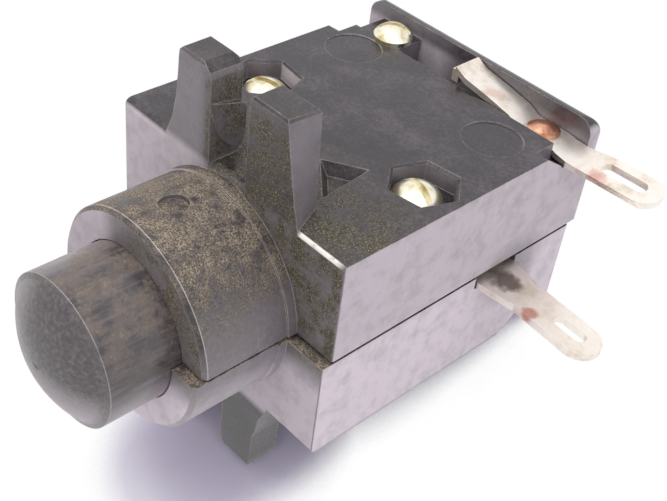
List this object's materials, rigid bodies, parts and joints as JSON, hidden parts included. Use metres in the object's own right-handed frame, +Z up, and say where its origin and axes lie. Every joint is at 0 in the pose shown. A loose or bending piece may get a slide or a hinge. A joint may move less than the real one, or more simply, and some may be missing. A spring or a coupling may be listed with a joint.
{
  "type": "pushbutton switch",
  "caption": "Momentary pushbutton switch with a two-part moulded casing, domed button in a round collar, upright posts and two flat solder tags.",
  "frame": {"origin": "on the button axis, in the plane of the upper casing half's front face and of the parting plane between the casing halves", "axes": "+Z up across the parting plane, +Y from the button towards the rear wall, +X towards the side where the tags come out"},
  "size_m": [0.0402, 0.05, 0.038],
  "materials": {
    "casing_resin": "black moulded phenolic, aged and dusty",
    "button_resin": "black moulded phenolic, polished by use",
    "rod_resin": "turned brown phenolic rod",
    "fibre_board": "punched fibre board",
    "spring_steel": "drawn spring wire",
    "contact_brass": "stamped brass",
    "contact_silver": "silver contact rivet",
    "tinned_strip": "tinned copper strip, worn",
    "rivet_copper": "copper rivet, tarnished",
    "screw_brass": "turned brass"
  },
  "bodies": {
    "casing": {"upper_casing": "casing_resin", "lower_casing": "casing_resin", "guide_disc": "fibre_board", "return_spring": "spring_steel", "upper_fixed_contact": "contact_silver", "lower_fixed_contact": "contact_silver", "inner_strip": "tinned_strip", "upper_tag": "tinned_strip", "tag_rivet": "rivet_copper", "rivet_washer": "contact_brass", "lower_tag": "tinned_strip", "right_screw": "screw_brass", "left_screw": "screw_brass", "right_nut": "screw_brass", "left_nut": "screw_brass", "rear_screw": "screw_brass", "rear_nut": "screw_brass"},
    "button": {"push_button": "button_resin", "plunger": "rod_resin", "contact_spring": "spring_steel", "contact_bridge": "contact_brass", "moving_contacts": "contact_silver", "retaining_clip": "spring_steel"}
  },
  "joints": [
    {"name": "button_press", "type": "slide", "parent": "casing", "child": "button", "axis": [0, 1, 0], "range_m": [0, 0.0032], "stiffness_N_per_m": 400, "springref_m": -0.004, "deforming": ["return_spring"]}
  ]
}
